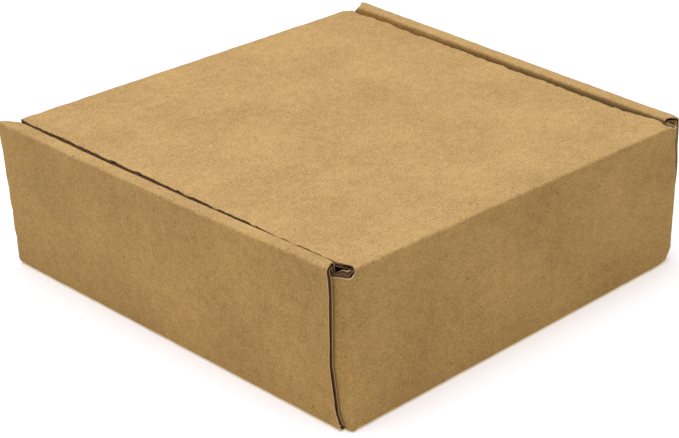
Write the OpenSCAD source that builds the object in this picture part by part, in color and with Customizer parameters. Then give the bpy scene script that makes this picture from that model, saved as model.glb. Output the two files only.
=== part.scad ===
// Corrugated mailer box, closed: a die-cut sheet of fine-flute kraft board folded into a tray with
// rolled-over double side walls, and a lid hinged on the rear crease with a tuck flap at its front.
// Millimetres, +Z up. Origin at the middle of the underside. The hinge is at +Y, the tuck at -Y.

/* [Board] */
// Thickness of the corrugated board
board_t = 1.6; // [1.4:0.1:1.8]
// Inside radius of a scored fold
fold_in = 0.3; // [0.2:0.05:0.4]
// Play on each side of a flap held between two walls
flap_play = 0.2; // [0.15:0.05:0.3]

/* [Box] */
// Width over the side walls, along the hinge
box_w = 154; // [120:1:200]
// Depth from the front wall to the rear wall
box_d = 152.5; // [120:0.5:200]
// Height over the rolled tops of the side walls
box_h = 51.2; // [50:0.2:70]
// Height of the front wall's cut top edge
front_h = 47.8; // [40:0.2:47.8]

/* [Side walls] */
// Set-back of the rolled top from the rear face, at its outer fold
roll_back = 3.6; // [3.4:0.2:6]
// Set-back of the rolled top from the front face, at its outer fold
roll_front = 2.6; // [2.4:0.2:6]
// Set-back of the rolled top and the inner panel, at the inner fold
inner_back = 6.2; // [6:0.2:9]
// Set-back of the outer side panel at its foot
foot_back = 2.4; // [2.2:0.1:3.5]
// Height over which the outer panel's cut ends taper
taper_h = 19.5; // [8:0.5:36]
// Length of each locking tab
tab_len = 20; // [12:1:30]
// Distance of each locking tab's middle from the box's middle
tab_off = 38; // [25:1:45]

/* [Corner flaps] */
// Length of a corner flap behind the side panel
flap_len = 52; // [30:1:60]
// Height of a corner flap's top cut edge
flap_top = 47.2; // [40:0.2:47.2]
// Height of a corner flap's bottom cut edge
flap_foot = 2.8; // [2.6:0.2:6]

/* [Lid] */
// Depth of the lid's top face below the rolled tops
lid_drop = 0.8; // [0.6:0.1:1.4]
// Gap between the lid's cut side edge and the side wall
lid_gap = 0.55; // [0.4:0.05:0.8]
// Distance of the lid's front fold behind the front face
lid_back = 4.6; // [2.6:0.1:5.2]
// Depth of the tuck flap
tuck_len = 32; // [28:1:33]
// Length of the tuck flap's ears
ear_len = 34; // [20:1:40]
// Height of the tuck flap's ears
ear_h = 18; // [12:1:20]

/* [Hidden] */
$fn = 64;
t = board_t;
fr = t + fold_in;                    // outside radius of every scored fold
wall_w = 3*t + 2*flap_play;          // rolled side wall: outer panel, corner flap, inner panel
flap_in = t + flap_play;             // corner flap's outer face behind the side face
hw = box_w/2;
hd = box_d/2;
lid_z = box_h - lid_drop;            // lid's top face
lid_hw = hw - wall_w - lid_gap;      // half the lid's width
lid_y = hd - lid_back;               // lid's front fold
inner_foot = t + 0.2;                // inner side panel's cut bottom edge
mitre = 3;                           // opening of the cut that parts lid and tray along the crease, degrees
lean_s = 0.07584;                    // sine and cosine of the tuck flap's inward lean, about 4.35 degrees,
lean_c = 0.99712;                    // so that it clears the front wall as the lid swings
ear_x = lid_hw - 0.3;                // outer face of a folded ear
crease_hw = lid_hw + 0.6;            // half the length of the lid's crease on the rear wall
kraft = [0.76, 0.60, 0.38];

// ---- flat helpers -------------------------------------------------------------------------

// A 2D outline given in (x, z), run along Y.
module run_y(len) { rotate([90, 0, 0]) linear_extrude(height = len, center = true) children(); }

// A 2D outline given in (y, z), run along X.
module run_x(len) { rotate([90, 0, 90]) linear_extrude(height = len, center = true) children(); }

// A rectangle between two corners.
module rect(x0, y0, x1, y1) { translate([x0, y0]) square([x1 - x0, y1 - y0]); }

// The section of a scored fold: a ring of board thickness between two angles, at most 180 apart.
module fold(a0, a1) {
  far = 4*fr;
  mid = (a0 + a1)/2;
  intersection() {
    difference() {
      circle(r = fr);
      circle(r = fold_in);
    }
    polygon([[0, 0], far*[cos(a0), sin(a0)], far*[cos(mid), sin(mid)], far*[cos(a1), sin(a1)]]);
  }
}

// A flap's outline from its fold at x = 0: foot and top edges draw in towards a free end with round corners.
module flap_outline(len, z0, z1, draw_in, r) {
  difference() {
    polygon([[0, z0], [len, z0 + draw_in], [len, z1 - draw_in], [0, z1]]);
    translate([len - r, z0 + draw_in]) corner_cut(r, -1);
    translate([len - r, z1 - draw_in]) corner_cut(r, 1);
  }
}

// What a round corner takes away from a square one that points to +x and up (s = 1) or down (s = -1).
module corner_cut(r, s) {
  difference() {
    translate([0, s > 0 ? -r : -0.5*r]) square([2*r, 1.5*r]);
    translate([0, -s*r]) circle(r = r);
  }
}

module mirrored_x() { children(); mirror([1, 0, 0]) children(); }
module mirrored_y() { children(); mirror([0, 1, 0]) children(); }

// ---- tray ---------------------------------------------------------------------------------

// The flat base, with a slot for each locking tab.
module base_panel() {
  linear_extrude(height = t)
    difference() {
      square([box_w - 2*fr, box_d - 2*fr], center = true);
      mirrored_x() mirrored_y()
        rect(hw - wall_w - 0.2, tab_off - tab_len/2 - 0.5, hw - wall_w + t + 0.2, tab_off + tab_len/2 + 0.5);
    }
}

// Outer side panel and the first half of the roll, with cut ends that taper above the foot.
module side_outer() {
  intersection() {
    run_y(box_d) {
      translate([hw - fr, fr]) fold(-90, 0);
      rect(hw - t, fr, hw, box_h - fr);
      translate([hw - fr, box_h - fr]) fold(0, 90);
      rect(hw - wall_w + fr, box_h - t, hw - fr, box_h);
    }
    translate([hw - wall_w/2, 0, 0])
      run_x(wall_w + 2)
        polygon([
          [-hd + foot_back, -1], [hd - foot_back, -1], [hd - foot_back, fr],
          [hd - roll_back, taper_h], [hd - roll_back, box_h + 1],
          [-hd + roll_front, box_h + 1], [-hd + roll_front, taper_h], [-hd + foot_back, fr]
        ]);
    roll_plan();
  }
}

// The roll's cut ends, seen from above: they draw in from the outer fold to the inner one.
module roll_plan() {
  linear_extrude(height = 3*box_h, center = true)
    polygon([
      [hw + 1, -hd], [hw + 1, hd], [hw - fr + 0.01, hd], [hw - fr, hd - roll_back],
      [hw - wall_w + fr, hd - inner_back], [hw - wall_w, hd - inner_back],
      [hw - wall_w, -hd + inner_back], [hw - wall_w + fr, -hd + inner_back],
      [hw - fr, -hd + roll_front], [hw - fr + 0.01, -hd]
    ]);
}

// Inner side panel, down to the base, with two locking tabs.
module side_inner() {
  run_y(box_d - 2*inner_back) {
    translate([hw - wall_w + fr, box_h - fr]) fold(90, 180);
    rect(hw - wall_w, inner_foot, hw - wall_w + t, box_h - fr);
  }
  mirrored_y()
    translate([hw - wall_w, tab_off - tab_len/2, 0.1]) cube([t, tab_len, inner_foot]);
}

// A corner flap folded from an end wall, behind the outer side panel. The wall is at +Y.
module corner_flap() {
  translate([hw - flap_in - fr, hd - fr, flap_foot])
    linear_extrude(height = flap_top - flap_foot) fold(0, 90);
  translate([hw - flap_in - t/2, hd - fr, 0])
    mirror([0, 1, 0]) run_x(t) flap_outline(flap_len, flap_foot, flap_top, 2, 7);
}

// Rear wall: up from the base fold to half of the crease that carries the lid.
module rear_wall() {
  wall_hw = hw - flap_in - fr;
  intersection() {
    run_x(box_w) {
      translate([hd - fr, fr]) fold(-90, 0);
      rect(hd - t, fr, hd, lid_z - fr);
      translate([hd - fr, lid_z - fr]) fold(0, 45);
    }
    translate([0, hd - fr, 0])
      run_y(4*fr) {
        rect(-wall_hw, -1, wall_hw, fr);
        difference() {
          rect(-wall_hw - 0.01, fr, wall_hw + 0.01, lid_z + 1);
          mirrored_x() difference() {
            rect(crease_hw, flap_top, hw, lid_z + 2);
            difference() {
              rect(crease_hw, flap_top, crease_hw + 2, flap_top + 2);
              translate([crease_hw + 2, flap_top + 2]) circle(r = 2);
            }
          }
          mirrored_x() rect(wall_hw - 0.02, fr, hw, flap_foot);
        }
      }
  }
}

// Front wall: ends in a cut edge just under the lid.
module front_wall() {
  wall_hw = hw - flap_in - fr;
  mirror([0, 1, 0])
    run_x(2*wall_hw) {
      translate([hd - fr, fr]) fold(-90, 0);
      rect(hd - t, fr, hd, front_h);
    }
}

module tray() color(kraft) {
  base_panel();
  mirrored_x() {
    side_outer();
    side_inner();
    mirrored_y() corner_flap();
  }
  rear_wall();
  front_wall();
}

// ---- lid ----------------------------------------------------------------------------------

// Top panel with half of the rear crease and the front fold.
module lid_panel() {
  run_x(2*lid_hw) {
    translate([hd - fr, lid_z - fr]) fold(45 + mitre, 90);
    rect(-lid_y + fr, lid_z - t, hd - fr, lid_z);
    translate([-lid_y + fr, lid_z - fr])
      intersection() {
        difference() {
          circle(r = fr);
          circle(r = fold_in);
        }
        polygon([[0, 0], [0, 10], [-10, 10], [-10*lean_c, -10*lean_s]]);
      }
  }
}

// Tuck flap and its folded ears, hung from the front fold and leaning inwards.
module tuck_flap() {
  flat_hw = ear_x - fr;
  depth = tuck_len - fr;
  ear_top = -6;
  translate([0, -lid_y + fr, lid_z - fr])
    multmatrix([[1, 0, 0, 0], [0, lean_c, -lean_s, 0], [0, lean_s, lean_c, 0]]) {
      translate([0, t - fr, 0])
        rotate([90, 0, 0]) linear_extrude(height = t)
          difference() {
            polygon([
              [-lid_hw, 0.0], [-flat_hw, ear_top], [-flat_hw, -depth],
              [flat_hw, -depth], [flat_hw, ear_top], [lid_hw, 0.0]
            ]);
            mirrored_x() translate([flat_hw - 5, -depth]) corner_cut(5, -1);
          }
      mirrored_x() {
        translate([ear_x - fr, 0, ear_top - ear_h]) linear_extrude(height = ear_h) fold(-90, 0);
        translate([ear_x - t/2, 0, 0])
          run_x(t) flap_outline(ear_len, ear_top - ear_h, ear_top, 3, 6);
      }
    }
}

module lid() color(kraft) {
  lid_panel();
  tuck_flap();
}

tray();
lid();
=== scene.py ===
import math

import bpy
import numpy as np
from mathutils import Matrix, Vector
from mathutils.kdtree import KDTree


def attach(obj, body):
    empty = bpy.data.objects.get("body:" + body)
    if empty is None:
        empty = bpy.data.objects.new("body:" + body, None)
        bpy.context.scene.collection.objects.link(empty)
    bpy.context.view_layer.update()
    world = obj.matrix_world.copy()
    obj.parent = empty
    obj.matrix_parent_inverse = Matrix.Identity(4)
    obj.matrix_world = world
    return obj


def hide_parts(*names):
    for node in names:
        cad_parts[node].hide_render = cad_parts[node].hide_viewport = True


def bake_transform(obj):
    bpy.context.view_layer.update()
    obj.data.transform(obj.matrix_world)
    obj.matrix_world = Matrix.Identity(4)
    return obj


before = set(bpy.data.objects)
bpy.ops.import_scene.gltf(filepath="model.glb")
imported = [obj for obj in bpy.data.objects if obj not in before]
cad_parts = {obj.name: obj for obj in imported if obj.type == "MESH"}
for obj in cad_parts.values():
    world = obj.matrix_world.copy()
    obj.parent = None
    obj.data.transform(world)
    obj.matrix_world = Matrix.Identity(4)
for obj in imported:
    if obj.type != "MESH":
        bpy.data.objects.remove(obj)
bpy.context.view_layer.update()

# ---- the board ----------------------------------------------------------------------------
# All lengths are millimetres until a mesh is made. The board is one sheet of two liners with a
# fluted medium between them. The flutes run along X in the flat sheet, so they stand upright in
# the side walls and lie level in the other panels.

T, LINER, MEDIUM, PITCH = 1.6, 0.3, 0.2, 3.2
FR = 1.9                                   # outside radius of a fold
HW, HD, H = 77.0, 76.25, 51.2              # half width, half depth, height of the rolled tops
LID_Z, LID_HW, LID_Y = 50.4, 71.25, 71.65  # lid's top face, half width, front fold
FRONT_H, FLAP_TOP, FLAP_FOOT = 47.8, 47.2, 2.8
WALL_HW = 73.3                             # half width of the flat front and rear walls
LEAN_S, LEAN_C = 0.07584, 0.99712
QUARTER = FR * math.pi / 2


def lines(step, *marks):
    """Rising values that hit every mark, about step apart."""
    out = [marks[0]]
    for a, b in zip(marks, marks[1:]):
        n = max(1, round((b - a) / step))
        out += list(a + (b - a) * np.arange(1, n + 1) / n)
    return np.array(out)


def both(step, *marks):
    """The same, mirrored about zero, for marks that rise from zero."""
    right = lines(step, *marks)
    return np.concatenate([-right[:0:-1], right])


def ripple(low, high, count, seed):
    """A smooth random field over the flat sheet, of about unit spread, with wavelengths in a range."""
    g = np.random.default_rng(seed)
    k = 2 * np.pi / np.exp(g.uniform(np.log(low), np.log(high), count))
    a, phase = g.uniform(0, 2 * np.pi, (2, count))

    def field(u, v):
        total = np.zeros(np.broadcast(u, v).shape)
        for ki, ai, pi in zip(k, a, phase):
            total += np.sin(ki * (np.cos(ai) * u + np.sin(ai) * v) + pi)
        return total / math.sqrt(count / 2)

    return field


def smooth(x, a, b):
    x = np.clip((np.asarray(x, float) - a) / (b - a), 0, 1)
    return x * x * (3 - 2 * x)


class Chain:
    """Path of the board's outer face in one plane: straight runs, and left-hand folds about the inner side."""

    def __init__(self, start, heading):
        self.end, self.heading = np.array(start, float), math.radians(heading)
        self.length, self.parts = 0.0, []

    def run(self, length):
        self.parts.append((self.length, self.length + length, self.end, self.heading, 0.0, 0.0))
        self.end = self.end + length * np.array([math.cos(self.heading), math.sin(self.heading)])
        self.length += length
        return self.length

    def turn(self, angle, sharp=4.0):
        angle = math.radians(angle)
        centre = self.end + FR * np.array([-math.sin(self.heading), math.cos(self.heading)])
        self.parts.append((self.length, self.length + FR * angle, centre, self.heading, FR, sharp))
        self.heading += angle
        self.end = centre + FR * np.array([math.sin(self.heading), -math.cos(self.heading)])
        self.length += FR * angle
        return self.length

    def at(self, s):
        pos, nrm = np.zeros(s.shape + (2,)), np.zeros(s.shape + (2,))
        for s0, s1, p, h, r, sharp in self.parts:
            pick = s >= s0 - 1e-9
            a = h + (s[pick] - s0) / r if r else np.full(pick.sum(), h)
            n = np.stack([np.sin(a), -np.cos(a)], -1)
            nrm[pick] = n
            if r:
                pos[pick] = p + r * n
            else:
                pos[pick] = p + (s[pick] - s0)[:, None] * np.array([math.cos(h), math.sin(h)])
        return pos, nrm

    def folds(self, s):
        """How near a place is to a fold, from 1 in it to 0 a few millimetres away, and how far a scored
        fold's outer face stands out from a plain arc, as a share of the radius."""
        near, crisp = np.zeros(s.shape), np.zeros(s.shape)
        for s0, s1, p, h, r, sharp in self.parts:
            if r:
                near = np.maximum(near, np.exp(-(np.maximum(0, np.abs(s - (s0 + s1) / 2) - 0.7) / 1.6) ** 2))
                a = np.clip((s - s0) / (s1 - s0), 0, 1) * np.pi / 2
                crisp += (np.cos(a) ** sharp + np.sin(a) ** sharp) ** (-1 / sharp) - 1
        return np.stack([near, crisp], -1)


class Patch:
    """One or more panels along a chain. r runs along the folds, s along the chain."""

    def __init__(self, kind, chain, place, s_lines, r_lines, span, hold, extent, sheet, keep=None):
        self.kind, self.chain, self.place, self.s_lines, self.r_lines = kind, chain, place, s_lines, r_lines
        self.span, self.hold, self.extent, self.sheet, self.keep = span, hold, extent, sheet, keep

    def fit(self, r, s):
        """Run lines drawn in to the panel's real ends; those in the middle stay where they are."""
        (lo, hi), (a, b), m = self.extent(s), self.span, self.hold
        out = np.where(r < a + m, lo + (r - a) * (a + m - lo) / m, r)
        return np.where(r > b - m, hi - (b - r) * (hi - b + m) / m, out)

    def surface(self, r, s):
        pos, nrm = self.chain.at(s)
        return self.place(pos, r, False), self.place(nrm, np.zeros(r.shape), True)

    def grid(self):
        s, r = np.meshgrid(self.s_lines, self.r_lines, indexing="ij")
        s, r = s + 0.0, self.fit(r, s)
        p, n = self.surface(r, s)
        mid_s = (self.s_lines[1:] + self.s_lines[:-1]) / 2
        mid_r = (self.r_lines[1:] + self.r_lines[:-1]) / 2
        kept = np.ones((len(mid_s), len(mid_r)), bool)
        if self.keep:
            kept = self.keep(*np.meshgrid(mid_r, mid_s))
        return p, n, np.stack(self.sheet(r, s), -1), self.chain.folds(s), kept


def weld(patches):
    """Joins the patches' grids along the folds that they share."""
    rows, quads, first = [], [], 0
    for k, patch in enumerate(patches):
        p, n, uv, fold, kept = patch.grid()
        i = first + np.arange(p.shape[0] * p.shape[1]).reshape(p.shape[:2])
        q = np.stack([i[:-1, :-1], i[1:, :-1], i[1:, 1:], i[:-1, 1:]], -1)
        turn = np.einsum("ijk,ijk->ij", np.cross(p[1:, :-1] - p[:-1, :-1], p[:-1, 1:] - p[:-1, :-1]), n[:-1, :-1])
        quads.append((q if turn.sum() > 0 else q[..., ::-1])[kept])
        m = p.shape[0] * p.shape[1]
        rows.append(np.concatenate([p.reshape(m, 3), n.reshape(m, 3), uv.reshape(m, 2),
                                    fold.reshape(m, 2), np.full((m, 1), k)], 1))
        first += m
    rows, quads = np.concatenate(rows), np.concatenate(quads)
    _, one, back = np.unique(np.round(rows[:, :3] * 500).astype(np.int64), axis=0, return_index=True, return_inverse=True)
    quads = one[back.reshape(-1)][quads]
    used = np.unique(quads)
    place = np.zeros(len(rows), np.int64)
    place[used] = np.arange(len(used))
    return rows[used], place[quads]


def open_edges(quads):
    e = np.concatenate([quads[:, [k, (k + 1) % 4]] for k in range(4)])
    code = e.min(1) * (1 << 32) + e.max(1)
    _, one, count = np.unique(code, return_index=True, return_counts=True)
    return e[one[count == 1]]


# ---- what the hand-folded box does to the flat drawing ----------------------------------------

swell = ripple(18, 60, 40, 11)      # slight unevenness of the panels
pucker = ripple(4, 12, 40, 12)      # of the folds
fray = ripple(3, 9, 40, 13)         # of the cut edges


# How far each corner of the folded box is from square: [x side][y side][low, high] -> (dx, dy, dz).
# The side walls splay at the front, where only the tuck flap holds them.
CORNERS = np.array([
    [[(0.0, 0.0, 0.0), (-1.25, 1.35, -0.2)], [(0.0, -0.7, 0.0), (0.9, -0.2, -1.4)]],
    [[(-0.8, 0.0, 0.0), (2.5, -1.45, -0.55)], [(-1.55, 1.35, 0.0), (0.15, -0.35, 0.2)]]])
LID_SHIFT = [(-0.7, 1.7, -1.2, -1.4), (-0.45, 0.0, 1.35, 0.8)]           # each side: dx front, dx rear, dy front, dz front
BULGE = (0.05, 0.9)                                                      # of each side wall, at its top


def warp(p, kind):
    """Moves points of the square drawing to the slightly uneven real box. kind is tray, wall (a rolled side) or lid."""
    f = np.stack([np.clip((p[:, 0] / HW + 1) / 2, -0.05, 1.05), np.clip((p[:, 1] / HD + 1) / 2, -0.05, 1.05),
                  np.clip(p[:, 2] / H, -0.05, 1.05)], 1)
    move = np.zeros(p.shape)
    for i in (0, 1):
        for j in (0, 1):
            for k in (0, 1):
                w = (f[:, 0] if i else 1 - f[:, 0]) * (f[:, 1] if j else 1 - f[:, 1]) * (f[:, 2] if k else 1 - f[:, 2])
                move += w[:, None] * CORNERS[i, j, k]
    x, y, z = p.T
    if kind == "lid":           # the flat lid follows the splayed walls only in part
        fx, fy = np.clip((x / LID_HW + 1) / 2, 0, 1), np.clip((y + 73) / 146, 0, 1)
        for i, (front, rear, along, rise) in enumerate(LID_SHIFT):
            w = (fx if i else 1 - fx) * (1 - smooth(y, 60, 71))
            move += w[:, None] * np.stack([front + (rear - front) * fy, along * (1 - fy), rise * (1 - fy)], 1)
    if kind == "wall":
        side = np.where(x > 0, BULGE[1], -BULGE[0])
        move[:, 0] += side * (1 - np.clip(y / HD, -1, 1) ** 2) * np.clip(z / H, 0, 1.05)
        flare = (x < 0) * smooth(y, 58, 73) * smooth(z, 4, 34)     # one end of a roll stands out
        move += flare[:, None] * np.array([-1.2, 1.2, -0.4])
        move[:, 0] -= (x < 0) * 0.8 * smooth(y, 58, 73) * smooth(z, 6, 26) * (1 - smooth(z, 30, 44))
    else:                       # the rear wall's ends stand a little inside the side walls
        draw = np.where(x > 0, 0.1 + 1.1 * smooth(z, 2, 14) + 0.3 * z / H, 0.45 - 1.1 * z / H + 2.15 * smooth(z, 25, 49))
        move[:, 0] -= np.sign(x) * draw * smooth(np.abs(x), 45, 73) * smooth(y, 69.5, 74.5)
    if kind == "tray":          # one lower corner is knocked in, and the front wall's cut edge stands a little lower
        dent = 0.8 * smooth(-x, 68, 75.5) * smooth(y, 70, 76) * (1 - smooth(z, 0, 5))
        move += dent[:, None] * np.array([1.0, -1.0, 0.0])
        move[:, 2] -= 2.4 * smooth(-y, 60, 75) * smooth(z, 20, 47.8)
    return p + move


def lift(n, u, v, fold):
    """How far the board stands out from its drawing along its normal."""
    out = 0.02 * swell(u, v) + 0.035 * fold[:, 0] * pucker(u, v)
    return out * (1 - smooth(-n[:, 2], 0.5, 0.95))      # the underside stays flat


def sunk(p, n, out, fold, depth, kind):
    """Points at a depth in the board. A scored fold is crisp outside and round inside, and the inner
    liner stands up a little where a corner flap's fold ends at the top."""
    q = p + (out - depth + fold[:, 1] * np.maximum(0, FR - depth) * (1 - depth / T))[:, None] * n
    if kind == "tray":
        x, y, z = p.T
        curl = np.exp(-((FLAP_TOP - z) / 1.6) ** 2 - np.maximum(0, 73.0 - x) ** 2) * smooth(y, 69, 74)
        q[:, 2] += curl * (2.0 * smooth(depth, 0.4, 1.4) + 0.5)
    if kind == "wall":          # the cut ends are a little bevelled
        q[:, 1] += 0.7 * smooth(p[:, 1], 68, 70.5) * (p[:, 2] < H - 2 * FR) * depth / T
    q = warp(q, kind)
    q[:, 2] = np.maximum(q[:, 2], 0.0)
    return q


def pressed(gap, p, u, v, kind):
    """How far a liner is pressed in near a cut edge, at a distance from it. The lid's edges are the softest."""
    much = 1 + 1.2 * (kind == "lid") * (1 - smooth(p[:, 1], 50, 66))
    return np.clip(0.15 + 0.08 * fray(u, v), 0.0, 0.3) * much * np.exp(-(gap / 0.9) ** 2 / much)


# ---- shells ---------------------------------------------------------------------------------

FACE, INSIDE, EDGE, RIM = 0, 1, 2, 3        # material slots: paper face, inside of the board (darkened as painted shade, less so in the lid), cut edge of the outer liner, cut edge of the inner liner (painted darker as shade)


class Build:
    def __init__(self):
        self.verts, self.quads, self.slots, self.sheet, self.count = [], [], [], [], 0

    def shell(self, outer, inner, quads, slots, uv, sides):
        """A closed thin shell between two copies of one grid."""
        n = len(outer)
        e = open_edges(quads)
        rim = np.stack([e[:, 1], e[:, 0], e[:, 0] + n, e[:, 1] + n], 1)
        self.quads.append(np.concatenate([quads, quads[:, ::-1] + n, rim]) + self.count)
        self.slots.append(np.repeat(slots, [len(quads), len(quads), len(rim)]))
        self.verts.append(np.concatenate([outer, inner]))
        for side in sides:
            self.sheet.append(np.concatenate([uv, np.full((n, 1), side)], 1))
        self.count += 2 * n

    def board(self, patches, seam):
        """Both liners of the patches. seam says which open edges are not cut edges."""
        rows, quads = weld(patches)
        p, n, uv, fold, part = rows[:, :3], rows[:, 3:6], rows[:, 6:8], rows[:, 8:10], rows[:, 10].astype(int)
        ends = np.unique(open_edges(quads))
        ends = ends[~seam(p[ends])]
        gap = np.full(len(p), 99.0)
        for k in range(len(patches)):
            near = ends[part[ends] == k]
            tree = KDTree(max(1, len(near)))
            for i in near:
                tree.insert(p[i], int(i))
            tree.balance()
            if len(near):
                for i in np.nonzero(part == k)[0]:
                    gap[i] = tree.find(p[i])[2]
        u, v = uv.T
        out, dent = lift(n, u, v, fold), pressed(gap, p, u, v, patches[0].kind)
        dent = dent * (1 - smooth(-n[:, 2], 0.5, 0.95) * (p[:, 2] < 1))

        def at(depth):
            q = np.zeros(p.shape)
            for k, patch in enumerate(patches):
                i = part == k
                q[i] = sunk(p[i], n[i], out[i], fold[i], depth[i], patch.kind)
            return q

        # The faces between the liners take the inside slot, darkened as painted shade; the inner liner's cut edge takes
        # the rim slot, painted darker as shade.
        self.shell(at(dent), at(dent + LINER), quads, [FACE, INSIDE, EDGE], uv, (0.0, 20.0))
        self.shell(at(T - LINER - dent * 0.6), at(T - dent * 0.6), quads, [INSIDE, FACE, RIM], uv, (60.0, 90.0))

    def flutes(self, patch, r, s, gap):
        """A strip of the medium behind a cut edge, on a grid of places at a distance from that edge."""
        shape = s.shape
        p, n = patch.surface(r, s)
        u, v = patch.sheet(r, s)
        p, n, fold = p.reshape(-1, 3), n.reshape(-1, 3), patch.chain.folds(s).reshape(-1, 2)
        u, v, gap = u.reshape(-1), v.reshape(-1), gap.reshape(-1)
        swing = T / 2 - LINER - MEDIUM / 2 - 0.8 * pressed(gap, p, u, v, patch.kind)
        mid, out = T / 2 + swing * np.cos(2 * np.pi * v / PITCH), lift(n, u, v, fold)
        i = np.arange(len(p)).reshape(shape)
        q = np.stack([i[:-1, :-1], i[1:, :-1], i[1:, 1:], i[:-1, 1:]], -1).reshape(-1, 4)
        turn = np.einsum("ij,ij->i", np.cross(p[q[:, 1]] - p[q[:, 0]], p[q[:, 3]] - p[q[:, 0]]), n[q[:, 0]])
        q = q if turn.sum() > 0 else q[:, ::-1]
        faces = [sunk(p, n, out, fold, mid + d, patch.kind) for d in (-MEDIUM / 2, MEDIUM / 2)]
        # The medium takes the inside slot's colour, darkened as painted shade.
        self.shell(faces[0], faces[1], q, [INSIDE, INSIDE, INSIDE], np.stack([u, v], 1), (30.0, 40.0))

    def flutes_side(self, patch, end, s_values, w_values):
        """Medium along a patch's low (-1) or high (1) run end."""
        s, w = np.meshgrid(s_values, w_values, indexing="ij")
        lo, hi = patch.extent(s)
        self.flutes(patch, hi - w if end > 0 else lo + w, s, w)

    def flutes_end(self, patch, s_end, r_values, w_values):
        """Medium along a patch's last chain line, or its first one where w_values are negative."""
        w, r = np.meshgrid(w_values, r_values, indexing="ij")
        self.flutes(patch, r, s_end - w, np.abs(w))

    def mesh(self, name, materials):
        verts, quads = np.concatenate(self.verts) * 0.001, np.concatenate(self.quads)
        mesh = bpy.data.meshes.new(name)
        mesh.vertices.add(len(verts))
        mesh.vertices.foreach_set("co", verts.astype(np.float32).ravel())
        mesh.loops.add(quads.size)
        mesh.loops.foreach_set("vertex_index", quads.astype(np.int32).ravel())
        mesh.polygons.add(len(quads))
        mesh.polygons.foreach_set("loop_start", np.arange(0, quads.size, 4, dtype=np.int32))
        mesh.update(calc_edges=True)
        for m in materials:
            mesh.materials.append(m)
        mesh.polygons.foreach_set("material_index", np.concatenate(self.slots).astype(np.int32))
        mesh.polygons.foreach_set("use_smooth", np.ones(len(quads), bool))
        flat = mesh.attributes.new("sheet", "FLOAT_VECTOR", "POINT")
        flat.data.foreach_set("vector", np.concatenate(self.sheet).astype(np.float32).ravel())
        mesh.set_sharp_from_angle(angle=math.radians(42))
        mesh.validate()
        mesh.update()
        obj = bpy.data.objects.new(name, mesh)
        bpy.context.scene.collection.objects.link(obj)
        return obj


# ---- panels ---------------------------------------------------------------------------------

XL = both(2.2, 0, 70.5, 71.6, 72.3, 72.9, 73.3, 73.6, 75.1)
YL = both(2.2, 0, 27.5, 28.0, 48.0, 48.5, 69.0, 71.6, 72.85, 73.45, 73.85, 74.35)

# Front wall, base, rear wall, lid and tuck flap, in (y, z).
spine = Chain((-HD, FRONT_H), 270)
S_FRONT = spine.run(FRONT_H - FR)
S_BASE = spine.turn(90)
S_BASE_END = spine.run(2 * (HD - FR))
S_REAR = spine.turn(90)
S_SEAM = spine.run(FLAP_TOP - FR)               # the tray ends here
S_HINGE = spine.run(LID_Z - FR - FLAP_TOP)
S_TOP = spine.turn(90)
S_LID = spine.run(3.0)                          # the lid starts here
S_FOLD = spine.run(HD + LID_Y - 2 * FR - 3.0)
S_TUCK = spine.turn(90 + math.degrees(math.atan2(LEAN_S, LEAN_C)), 9.0)
S_END = spine.run(32 - FR)


def place_spine(pq, r, flat):
    return np.stack([r, pq[..., 0], pq[..., 1]], -1)


def sheet_spine(r, s):
    return r, s


def extent_spine(s):
    z = FLAP_TOP + (s - S_SEAM)
    notch = 73.85 - np.sqrt(np.maximum(0, 4 - (np.clip(z, 47.2, 49.2) - 49.2) ** 2))
    hi = np.where(s < S_SEAM, WALL_HW, np.minimum(WALL_HW, notch))
    hi = np.where(s > S_HINGE + 0.7, 71.85 - 0.6 * smooth(s, S_HINGE + 0.7, S_TOP), hi)
    hi = np.where(s > S_TUCK, LID_HW - 2.2 * np.clip((s - S_TUCK) / 6, 0, 1), hi)
    turn = np.clip(s - (S_END - 5), 0, 5)
    hi = hi - (5 - np.sqrt(25 - turn ** 2))
    far = np.where((s > S_SEAM) & (s < S_TOP), WALL_HW - (WALL_HW - LID_HW) * smooth(s, S_HINGE + 0.4, S_TOP), hi)
    return -far, hi


def keep_tray(r, s):
    y = s - S_BASE - (HD - FR)
    base = (s > S_BASE) & (s < S_BASE_END)
    slot = base & (np.abs(r) > 71.6) & (np.abs(r) < 73.6) & (np.abs(y) > 27.5) & (np.abs(y) < 48.5)
    corner = (np.abs(r) > 73.6) & (np.abs(y) > 69.0)          # notched out for the corner flap's foot
    return (base | (np.abs(r) < WALL_HW)) & ~slot & ~corner


FOLD_STEP = QUARTER / 8
front_lines = lines(2.2, 0, 0.35, 0.6, 1.1, 2.4, S_FRONT - 0.9, S_FRONT)
rear_lines = lines(2.2, S_REAR, S_REAR + 0.9, S_SEAM - 2.4, S_SEAM - 1.0, S_SEAM - 0.4, S_SEAM)
tray_lines = np.concatenate([
    front_lines, lines(FOLD_STEP, S_FRONT, S_BASE)[1:], S_BASE + HD - FR + YL[1:],
    lines(FOLD_STEP, S_BASE_END, S_REAR)[1:], rear_lines[1:]])
strip_lines = np.concatenate([
    lines(0.33, S_SEAM, S_HINGE), lines(QUARTER / 12, S_HINGE, S_TOP)[1:], lines(0.75, S_TOP, S_LID)[1:]])
lid_lines = np.concatenate([
    lines(1.6, S_LID, S_FOLD), lines(FOLD_STEP, S_FOLD, S_TUCK)[1:], lines(2, S_TUCK, S_TUCK + 6, S_TUCK + 24)[1:],
    S_END - 5 * np.cos(np.linspace(0, np.pi / 2, 8)[1:])])
lid_lines = np.concatenate([lid_lines[lid_lines < S_TUCK + 24.001], [S_TUCK + 24.6], lid_lines[lid_lines > S_TUCK + 24.999]])
walls = XL[np.abs(XL) < WALL_HW + 0.01]

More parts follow.
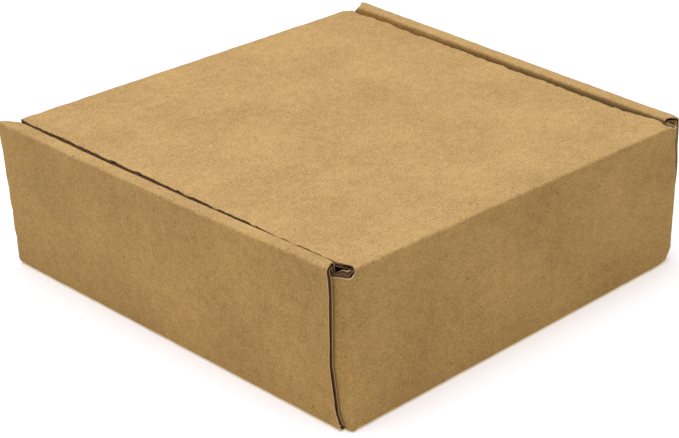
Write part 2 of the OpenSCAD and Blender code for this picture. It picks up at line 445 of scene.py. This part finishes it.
spine_tray = Patch("tray", spine, place_spine, tray_lines, XL, (-WALL_HW, WALL_HW), 18, extent_spine, sheet_spine, keep_tray)
spine_strip = Patch("tray", spine, place_spine, strip_lines, walls, (-WALL_HW, WALL_HW), 18, extent_spine, sheet_spine)
spine_lid = Patch("lid", spine, place_spine, lid_lines, walls, (-WALL_HW, WALL_HW), 18, extent_spine, sheet_spine)

# Rolled side walls, in (x, z): outer panel, narrow top, inner panel and its tabs.
side = Chain((HW - FR, 0), 0)
Q_WALL = side.turn(90)
Q_ROLL = side.run(H - 2 * FR)
Q_TOP = side.turn(90)
Q_TOP_END = side.run(5.2 - 2 * FR)
Q_IN = side.turn(90)
Q_FOOT = side.run(H - FR - 1.8)
Q_TAB = side.run(1.7)


def extent_side(s, sx):
    climb, over = np.clip((s - Q_WALL) / 17.6, 0, 1), smooth(s, Q_ROLL + 1.4, Q_TOP_END + 1.4)
    bow = np.interp(s - Q_WALL, [0, 17.6, 41], [0, 1.5, 0]) - 1.6 * (1 - smooth(s, 1.0, Q_WALL + 2.5))
    if sx < 0:                  # one roll is cut back further at the front
        return -(73.6 - 3.0 * smooth(s, Q_ROLL - 3, Q_ROLL + 1.4) - 2.5 * over), 72.0 - 1.95 * over
    return -(73.85 - 0.25 * climb - 3.55 * over), 71.5 - bow - 1.45 * over


def side_patch(sx):
    def place(pq, r, flat):
        return np.stack([sx * pq[..., 0], r, pq[..., 1]], -1)

    def sheet(r, s):
        return sx * (HW - FR + s), S_BASE + HD - FR + r

    def keep(r, s):
        return (s < Q_FOOT) | ((np.abs(r) > 28) & (np.abs(r) < 48))

    s_lines = np.concatenate([
        lines(FOLD_STEP, 0, Q_WALL), lines(2.4, Q_WALL, Q_WALL + 17.6, Q_ROLL)[1:], lines(FOLD_STEP, Q_ROLL, Q_TOP)[1:],
        lines(0.7, Q_TOP, Q_TOP_END)[1:], lines(FOLD_STEP, Q_TOP_END, Q_IN)[1:],
        lines(3.2, Q_IN, Q_FOOT - 2.4)[1:], lines(0.6, Q_FOOT - 2.4, Q_FOOT - 1.0, Q_FOOT - 0.4, Q_FOOT, Q_TAB)[1:]])
    r_lines = YL[np.abs(YL) < 73.86]
    return Patch("wall", side, place, s_lines, r_lines, (-73.85, 73.85), 18, lambda s: extent_side(s, sx), sheet, keep)


sides = {sx: side_patch(sx) for sx in (-1, 1)}

# Corner flaps of the front and rear walls, in (-x, y), behind the outer side panels.
flap = Chain((-WALL_HW, HD), 180)
F_FLAT = flap.turn(90, 2.4)
F_END = flap.run(52)


def round_end(s, start, length, lo, hi, draw, r):
    """A flap's low and high edges: they draw in towards a free end with round corners."""
    d = np.clip(s - start, 0, length)
    cut = draw * d / length + r - np.sqrt(np.maximum(0, r * r - np.clip(d - (length - r), 0, r) ** 2))
    return lo + cut, hi - cut


def flap_patch(sx, sy):
    def place(pq, r, flat):
        return np.stack([-sx * pq[..., 0], sy * pq[..., 1], r], -1)

    def sheet(r, s):
        return sx * (WALL_HW + s), (S_REAR - FR + r if sy > 0 else FRONT_H - r)

    top = FLAP_TOP + 2 * (sx < 0 < sy)              # one corner is less crushed than the others
    z = rear_lines - S_REAR + FR if sy > 0 else FRONT_H - front_lines
    z = np.sort(z[(z > FR - 0.01) & (z < FLAP_TOP + 0.01)])
    z = np.concatenate([[0.15, 0.8, 1.4], z, FLAP_TOP + np.array([0.6, 1.2, 1.7, 2.0])[:4 * (top > FLAP_TOP)]])
    s_lines = np.concatenate([
        lines(FOLD_STEP, 0, F_FLAT), lines(0.5, F_FLAT, F_FLAT + 4.0, F_FLAT + 5.3)[1:], lines(4, F_FLAT + 5.3, F_END - 7)[1:],
        F_END - 7 * np.cos(np.linspace(0, np.pi / 2, 10)[1:])])

    def extent(s):
        lo, hi = round_end(s, F_FLAT, 52, FLAP_FOOT, top, 2, 7)
        foot = 0.15 + 0.3 * (1 - smooth(s, 0, 1.6))
        return lo - (FLAP_FOOT - foot) * (1 - smooth(s, F_FLAT + 4.0, F_FLAT + 5.2)), hi

    return Patch("tray", flap, place, s_lines, z, (0.15, top), 20, extent, sheet)


flaps = {(sx, sy): flap_patch(sx, sy) for sx in (-1, 1) for sy in (-1, 1)}

# Ears of the tuck flap, in the flap's own leaning (x, y).
ear = Chain((69.05, -FR), 0)
E_FLAT = ear.turn(90)
E_END = ear.run(34)


def ear_patch(sx):
    def place(pq, r, flat):
        x, y = sx * pq[..., 0], LEAN_C * pq[..., 1] - LEAN_S * r
        z = LEAN_S * pq[..., 1] + LEAN_C * r
        return np.stack([x, y, z] if flat else [x, y - LID_Y + FR, z + LID_Z - FR], -1)

    def sheet(r, s):
        return sx * (69.05 + s), S_TUCK - r

    z = np.sort(S_TUCK - lid_lines[(lid_lines > S_TUCK + 5.99) & (lid_lines < S_TUCK + 24.01)])
    s_lines = np.concatenate([
        lines(FOLD_STEP, 0, E_FLAT), lines(4, E_FLAT, E_END - 6)[1:], E_END - 6 * np.cos(np.linspace(0, np.pi / 2, 9)[1:])])
    return Patch("lid", ear, place, s_lines, z, (-24, -6), 9, lambda s: round_end(s, E_FLAT, 34, -24, -6, 3, 6), sheet)


ears = {sx: ear_patch(sx) for sx in (-1, 1)}


# ---- materials ------------------------------------------------------------------------------


class Nodes:
    def __init__(self, name):
        self.mat = bpy.data.materials.new(name)
        self.mat.use_nodes = True
        self.tree = self.mat.node_tree
        self.tree.nodes.clear()
        self.out = self.tree.nodes.new("ShaderNodeOutputMaterial")
        self.bsdf = self.tree.nodes.new("ShaderNodeBsdfPrincipled")
        self.tree.links.new(self.bsdf.outputs[0], self.out.inputs["Surface"])

    def node(self, kind, settings=None, **inputs):
        n = self.tree.nodes.new("ShaderNode" + kind)
        for k, v in (settings or {}).items():
            setattr(n, k, v)
        for k, v in inputs.items():
            socket = n.inputs[int(k[1:])] if k[0] == "_" else n.inputs[k]
            if isinstance(v, bpy.types.NodeSocket):
                self.tree.links.new(v, socket)
            else:
                socket.default_value = v
        return n.outputs

    def math(self, op, a, b=0.0):
        return self.node("Math", {"operation": op}, _0=a, _1=b)[0]

    def noise(self, vec, scale, detail=2.0, rough=0.5):
        return self.node("TexNoise", {"noise_dimensions": "3D"}, Vector=vec, Scale=scale, Detail=detail, Roughness=rough)["Fac"]

    def ramp(self, value, a, b, low=0.0, high=1.0):
        return self.node("MapRange", {"interpolation_type": "SMOOTHSTEP"}, _0=value, _1=a, _2=b, _3=low, _4=high)[0]

    def stretched(self, vec, angle, along, across, seed):
        turned = self.node("Mapping", {"vector_type": "POINT"}, Vector=vec, Rotation=(0, 0, math.radians(angle)),
                           Location=(seed, -seed, 0.7 * seed))[0]
        return self.node("VectorMath", {"operation": "MULTIPLY"}, _0=turned, _1=(along, across, 1.0))[0]

    def tint(self, value, low, high):
        return self.node("Mix", {"data_type": "RGBA", "blend_type": "MIX", "clamp_factor": True},
                         _0=value, _6=(*low, 1), _7=(*high, 1))[2]

    def over(self, value, below, above):
        return self.node("Mix", {"data_type": "RGBA", "blend_type": "MIX", "clamp_factor": True},
                         _0=value, _6=below, _7=(*above, 1))[2]


def paper(name, low, high, dark, light, specks, fibres, flute, rough):
    """Unbleached kraft paper. Coordinates are millimetres on the flat sheet, so the grain runs over the folds."""
    k = Nodes(name)
    flat = k.node("Attribute", {"attribute_type": "GEOMETRY", "attribute_name": "sheet"})["Vector"]
    cloud = k.noise(flat, 0.035, 2.0, 0.5)                        # wide uneven tone
    patch = k.noise(flat, 0.28, 3.0, 0.6)                         # paper formation
    grain = k.noise(flat, 1.25, 3.0, 0.68)                        # fine grain
    tone = k.math("ADD", k.math("MULTIPLY", k.math("SUBTRACT", grain, 0.5), 1.9),
                  k.math("ADD", k.math("MULTIPLY", k.math("SUBTRACT", patch, 0.5), 0.7),
                         k.math("ADD", k.math("MULTIPLY", k.math("SUBTRACT", cloud, 0.5), 0.7), 0.5)))
    colour = k.tint(tone, low, high)
    pale = None
    for i, angle in enumerate((84, 38, -47, 8)):
        f = k.ramp(k.noise(k.stretched(flat, angle, 0.6, 2.6, 13.7 * i), 1.0, 1.0, 0.4), 0.66, 0.78)
        pale = f if pale is None else k.math("MAXIMUM", pale, f)
    colour = k.over(k.math("MULTIPLY", pale, fibres), colour, light)
    spot = k.ramp(k.noise(k.stretched(flat, 71, 0.8, 1.5, 5.3), 1.0, 1.5, 0.5), 0.68, 0.76)
    dash = k.ramp(k.noise(k.stretched(flat, -18, 0.5, 2.4, 31.9), 1.0, 1.0, 0.4), 0.70, 0.78)
    spot = k.math("MAXIMUM", spot, dash)
    colour = k.over(k.math("MULTIPLY", spot, specks), colour, dark)
    k.tree.links.new(colour, k.bsdf.inputs["Base Color"])
    v = k.node("SeparateXYZ", Vector=flat)["Y"]
    wave = k.math("COSINE", k.math("MULTIPLY", v, 2 * math.pi / PITCH))
    height = k.math("ADD", k.math("MULTIPLY", wave, flute),
                    k.math("ADD", k.math("MULTIPLY", grain, 0.03), k.math("MULTIPLY", pale, 0.012)))
    bump = k.node("Bump", Strength=0.6, Distance=0.001, Height=height)
    k.tree.links.new(bump[0], k.bsdf.inputs["Normal"])
    k.tree.links.new(k.ramp(grain, 0.3, 0.7, rough - 0.07, rough + 0.07), k.bsdf.inputs["Roughness"])
    k.bsdf.inputs["Specular IOR Level"].default_value = 0.35
    return k.mat


kraft = paper("kraft_liner", (0.30, 0.1665, 0.038), (0.59, 0.3615, 0.102), (0.15, 0.075, 0.028), (0.70, 0.50, 0.25),
              0.65, 0.22, 0.006, 0.82)
# The board's inside and medium: darkened far below the medium's own colour, as painted shade in the gaps, slots and
# holes between the liners.
inside = paper("fluting_medium_painted_shade", (0.11, 0.052, 0.017), (0.18, 0.092, 0.031), (0.06, 0.028, 0.009), (0.21, 0.12, 0.05),
               0.4, 0.3, 0.0, 0.9)
cut = paper("cut_edge", (0.46, 0.29, 0.11), (0.66, 0.46, 0.21), (0.26, 0.14, 0.05), (0.78, 0.6, 0.34),
            0.5, 0.4, 0.0, 0.9)
# A lighter copy of the medium for the lid's inside; it also colours every inner liner's cut edge darker than the outer
# liner's cut edge, as painted shade.
edge = paper("lid_medium_and_painted_shade_rim", (0.30, 0.165, 0.06), (0.46, 0.275, 0.11), (0.12, 0.06, 0.02), (0.45, 0.30, 0.14),
             0.4, 0.3, 0.0, 0.9)
# Slot 1 is the shaded copy in the tray and the lighter copy in the lid; slot 3 is the painted-shade inner rim in both.
BOARD, LID_BOARD = [kraft, inside, cut, edge], [kraft, edge, cut, edge]

# ---- pieces ---------------------------------------------------------------------------------

EDGE_W = np.concatenate([[0.35, 0.6, 0.9], np.arange(1.2, 6.01, 0.4)])     # across the flutes
EDGE_L = np.array([0.04, 0.7, 1.6, 3.5, 6.0])                              # along them
EDGE_F = np.concatenate([[0.03], EDGE_W])                                  # across, in a torn edge


def seam_tray(p):
    return (p[:, 2] > FLAP_TOP - 0.01) & (np.abs(p[:, 0]) < WALL_HW + 0.01) & (p[:, 1] > HD - 0.01)


def seam_strip(p):
    return ((np.abs(p[:, 2] - FLAP_TOP) < 0.01) & (p[:, 1] > HD - 0.01)) | (np.abs(p[:, 1] - (HD - FR - 3)) < 0.01)


def seam_lid(p):
    return np.abs(p[:, 1] - (HD - FR - 3)) < 0.01


tray = Build()
tray.board([spine_tray] + list(sides.values()) + list(flaps.values()), seam_tray)
for sx, p in sides.items():
    s_ends = p.s_lines[(p.s_lines <= Q_FOOT + 0.01)]
    tray.flutes_side(p, 1, s_ends, EDGE_W)
    tray.flutes_side(p, -1, s_ends, EDGE_W)
    tray.flutes_end(p, Q_FOOT, lines(0.4, -69.5, 69.5), EDGE_L)
    for a in (-48, 28):
        tray.flutes_end(p, Q_TAB, lines(0.4, a + 0.1, a + 19.9), np.array([0.06, 0.7, 1.6]))
for (sx, sy), p in flaps.items():
    flat = p.s_lines[p.s_lines <= F_END - 6.9]
    tray.flutes_side(p, 1, flat, EDGE_F)
    tray.flutes_side(p, -1, flat, EDGE_W)
    tray.flutes_end(p, F_END, lines(0.4, FLAP_FOOT + 9.2, FLAP_TOP - 9.2), EDGE_L)
tray.flutes_end(spine_tray, 0.0, lines(5, -73.2, 73.2), -EDGE_W)
tray_board = tray.mesh("tray_board", BOARD)

strip = Build()
strip.board([spine_strip], seam_strip)
for end in (-1, 1):
    strip.flutes_side(spine_strip, end, lines(0.3, S_SEAM + 0.05, S_LID - 0.05), EDGE_L)
hinge_crease = strip.mesh("hinge_crease", BOARD)

lid = Build()
lid.board([spine_lid] + list(ears.values()), seam_lid)
for end in (-1, 1):
    lid.flutes_side(spine_lid, end, lines(0.4, S_LID + 0.05, S_TUCK + 5.9), EDGE_L)
    lid.flutes_side(spine_lid, end, lines(0.4, S_TUCK + 24.1, S_END - 0.3), EDGE_L)
lid.flutes_end(spine_lid, S_END, lines(5, -63.9, 63.9), EDGE_W)
for sx, p in ears.items():
    flat = p.s_lines[p.s_lines <= E_END - 5.9]
    lid.flutes_side(p, 1, flat, EDGE_W)
    lid.flutes_side(p, -1, flat, EDGE_W)
    lid.flutes_end(p, E_END, lines(0.4, -24 + 9.2, -6 - 9.2), EDGE_L)
lid_board = lid.mesh("lid_board", LID_BOARD)

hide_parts("tray")
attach(tray_board, "tray")
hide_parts("lid")
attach(lid_board, "lid")
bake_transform(hinge_crease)

# ---- stage ----------------------------------------------------------------------------------

scene = bpy.context.scene

mesh = bpy.data.meshes.new("floor")
mesh.from_pydata([(-15, -15, -0.0003), (15, -15, -0.0003), (15, 15, -0.0003), (-15, 15, -0.0003)], [], [(0, 1, 2, 3)])
floor = bpy.data.objects.new("floor", mesh)
scene.collection.objects.link(floor)
pale = Nodes("pale_floor")
pale.bsdf.inputs["Base Color"].default_value = (0.70, 0.675, 0.60, 1)
pale.bsdf.inputs["Roughness"].default_value = 0.9
pale.bsdf.inputs["Specular IOR Level"].default_value = 0.2
pale.bsdf.inputs["Emission Color"].default_value = (1.0, 0.94, 0.76, 1)
pale.bsdf.inputs["Emission Strength"].default_value = 0.4
mesh.materials.append(pale.mat)

world = bpy.data.worlds.new("studio")
scene.world = world
world.use_nodes = True
world.node_tree.nodes["Background"].inputs["Color"].default_value = (1, 1, 1, 1)
world.node_tree.nodes["Background"].inputs["Strength"].default_value = 0.12


def softbox(name, place, aim, size, power):
    light = bpy.data.lights.new(name, "AREA")
    light.shape, light.size, light.energy, light.color = "DISK", size, power, (1.0, 1.045, 1.42)
    obj = bpy.data.objects.new(name, light)
    obj.location = place
    obj.rotation_euler = (Vector(aim) - Vector(place)).to_track_quat("-Z", "Y").to_euler()
    scene.collection.objects.link(obj)


softbox("overhead", (0.12, -0.1, 1.7), (0, 0, 0), 2.0, 44)

# ---- camera ---------------------------------------------------------------------------------

FOCAL = 2115.06                                     # in pixels of a picture 679 wide
azimuth, elevation, roll = (math.radians(a) for a in (135.669, 26.14, -0.364))
back = Vector((math.sin(azimuth) * math.cos(elevation), -math.cos(azimuth) * math.cos(elevation), math.sin(elevation)))
across = Vector((0, 0, 1)).cross(back).normalized()
upward = back.cross(across)
right = math.cos(roll) * across + math.sin(roll) * upward
up = math.cos(roll) * upward - math.sin(roll) * across
eye = (Vector((0, 0, 23.0)) - 1.651 * right - 7.504 * up + 680.415 * back) * 0.001
lens = bpy.data.cameras.new("camera")
lens.sensor_fit, lens.sensor_width, lens.lens = "HORIZONTAL", 36.0, FOCAL / 679 * 36
lens.clip_start, lens.clip_end = 0.01, 100
camera = bpy.data.objects.new("camera", lens)
camera.matrix_world = Matrix((
    (right.x, up.x, back.x, eye.x), (right.y, up.y, back.y, eye.y), (right.z, up.z, back.z, eye.z), (0, 0, 0, 1)))
scene.collection.objects.link(camera)
scene.camera = camera

scene.view_settings.view_transform = "Standard"
scene.view_settings.look = "None"
